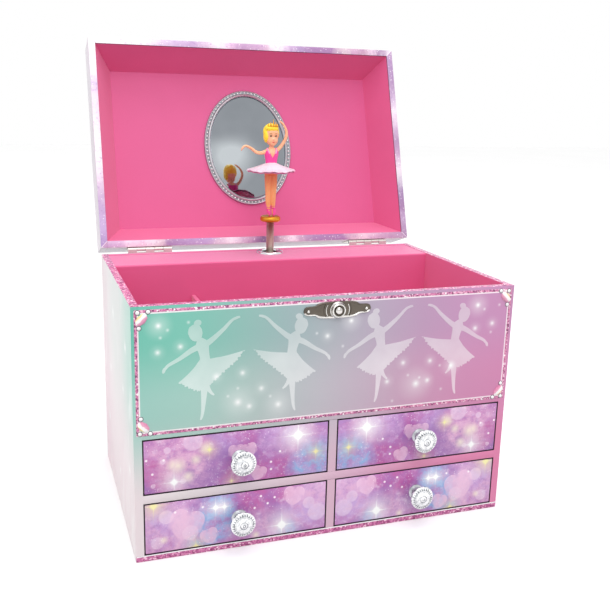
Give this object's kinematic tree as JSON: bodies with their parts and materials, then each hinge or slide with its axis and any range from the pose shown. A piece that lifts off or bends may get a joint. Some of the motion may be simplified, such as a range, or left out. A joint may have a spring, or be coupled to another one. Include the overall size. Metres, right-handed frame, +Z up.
{
  "type": "ballerina jewellery music box",
  "caption": "Jewellery music box with a hinged mirrored lid, a divided tray, small knobbed drawers and a wind-up dancer that turns on a flexible stem while the lid is open.",
  "frame": {"origin": "centre of the underside of the base panel, on the surface the box stands on", "axes": "+Z up, -Y towards the drawer fronts, +X to the right of a person who faces the drawers"},
  "size_m": [0.25, 0.252, 0.3169],
  "materials": {
    "case_print": "printed paper wrap, satin",
    "lid_print": "printed paper wrap, satin",
    "pink_lining": "matte dyed paper",
    "drawer_print": "printed paper wrap, satin",
    "drawer_lining": "matte dyed paper",
    "mirror_frame": "silver plated",
    "mirror": "polished",
    "hinge_steel": "satin",
    "lock_nickel": "aged nickel",
    "knob_crystal": "clear faceted acrylic",
    "chrome_trim": "polished",
    "movement_brass": "machined",
    "movement_steel": "satin",
    "stem_steel": "wound wire",
    "gold_plastic": "metallic gold",
    "doll_plastic": "painted",
    "skirt_plastic": "thin moulded, translucent"
  },
  "bodies": {
    "case": {"base_panel": "case_print", "left_side_panel": "case_print", "right_side_panel": "case_print", "back_panel": "case_print", "front_panel": "case_print", "tray_floor": "pink_lining", "drawer_shelf": "case_print", "drawer_dividers": "case_print", "ledge_panel": "pink_lining", "compartment_wall": "pink_lining", "tray_divider": "pink_lining", "lock_plate": "lock_nickel", "lock_boss": "chrome_trim", "case_nails": "lock_nickel", "hinge_case_leaves": "hinge_steel", "hinge_pins": "hinge_steel", "stem_eyelet": "chrome_trim", "key_bush": "movement_brass", "movement_bedplate": "movement_brass", "movement_front_plate": "movement_brass", "comb": "movement_steel"},
    "lid": {"lid_top_panel": "lid_print", "lid_front_wall": "lid_print", "lid_rear_wall": "lid_print", "lid_side_walls": "lid_print", "lid_liner_panel": "pink_lining", "lid_liner_slopes": "pink_lining", "mirror_frame": "mirror_frame", "mirror_glass": "mirror", "hinge_lid_leaves": "hinge_steel"},
    "drawer_lower_left": {"drawer_lower_left_front": "drawer_print", "drawer_lower_left_walls": "drawer_lining", "drawer_lower_left_bottom": "drawer_lining", "knob_lower_left_collar": "chrome_trim", "knob_lower_left_crystal": "knob_crystal"},
    "drawer_lower_right": {"drawer_lower_right_front": "drawer_print", "drawer_lower_right_walls": "drawer_lining", "drawer_lower_right_bottom": "drawer_lining", "knob_lower_right_collar": "chrome_trim", "knob_lower_right_crystal": "knob_crystal"},
    "drawer_upper_left": {"drawer_upper_left_front": "drawer_print", "drawer_upper_left_walls": "drawer_lining", "drawer_upper_left_bottom": "drawer_lining", "knob_upper_left_collar": "chrome_trim", "knob_upper_left_crystal": "knob_crystal"},
    "drawer_upper_right": {"drawer_upper_right_front": "drawer_print", "drawer_upper_right_walls": "drawer_lining", "drawer_upper_right_bottom": "drawer_lining", "knob_upper_right_collar": "chrome_trim", "knob_upper_right_crystal": "knob_crystal"},
    "barrel": {"spring_barrel": "movement_brass"},
    "winding_key": {"winding_key": "movement_steel"},
    "cylinder": {"pin_cylinder": "movement_brass"},
    "fan": {"governor_fan": "movement_steel"},
    "spindle": {"dancer_spindle": "movement_steel"},
    "stem": {"stem_spring": "stem_steel"},
    "dancer": {"dancer_plinth": "gold_plastic", "dancer_figure": "doll_plastic", "dancer_skirt": "skirt_plastic", "dancer_tiara": "gold_plastic"}
  },
  "joints": [
    {"name": "lid_hinge", "type": "hinge", "parent": "case", "child": "lid", "pos_m": [0, 0.0818, 0.1624], "axis": [1, 0, 0], "range_deg": [0, 108]},
    {"name": "drawer_lower_left_slide", "type": "slide", "parent": "case", "child": "drawer_lower_left", "axis": [0, -1, 0], "range_m": [0, 0.11]},
    {"name": "drawer_lower_right_slide", "type": "slide", "parent": "case", "child": "drawer_lower_right", "axis": [0, -1, 0], "range_m": [0, 0.11]},
    {"name": "drawer_upper_left_slide", "type": "slide", "parent": "case", "child": "drawer_upper_left", "axis": [0, -1, 0], "range_m": [0, 0.11]},
    {"name": "drawer_upper_right_slide", "type": "slide", "parent": "case", "child": "drawer_upper_right", "axis": [0, -1, 0], "range_m": [0, 0.11]},
    {"name": "barrel_spin", "type": "hinge", "parent": "case", "child": "barrel", "pos_m": [0, 0.064, 0.118], "axis": [0, 1, 0], "continuous": true},
    {"name": "key_spin", "type": "hinge", "parent": "case", "child": "winding_key", "pos_m": [0, 0.09, 0.118], "axis": [0, 1, 0], "continuous": true},
    {"name": "cylinder_spin", "type": "hinge", "parent": "case", "child": "cylinder", "pos_m": [-0.0241, 0.06, 0.118], "axis": [0, 1, 0], "continuous": true},
    {"name": "fan_spin", "type": "hinge", "parent": "case", "child": "fan", "pos_m": [-0.0241, 0.06, 0.1301], "axis": [0, 1, 0], "continuous": true},
    {"name": "spindle_spin", "type": "hinge", "parent": "case", "child": "spindle", "pos_m": [0, 0.064, 0.15], "axis": [0, 0, 1], "continuous": true},
    {"name": "stem_fold", "type": "hinge", "parent": "case", "child": "stem", "pos_m": [0, 0.064, 0.171], "axis": [1, 0, 0], "range_deg": [0, 97.3], "deforming": ["stem_spring"]},
    {"name": "dancer_spin", "type": "hinge", "parent": "stem", "child": "dancer", "pos_m": [0, 0.064, 0.19], "axis": [0, 0, 1], "continuous": true}
  ],
  "couplings": [
    {"joint": "stem_fold", "follows": "lid_hinge", "ratio": 0.9},
    {"joint": "cylinder_spin", "follows": "barrel_spin", "ratio": -2},
    {"joint": "fan_spin", "follows": "barrel_spin", "ratio": 10},
    {"joint": "spindle_spin", "follows": "barrel_spin", "ratio": 2},
    {"joint": "dancer_spin", "follows": "barrel_spin", "ratio": 2}
  ]
}
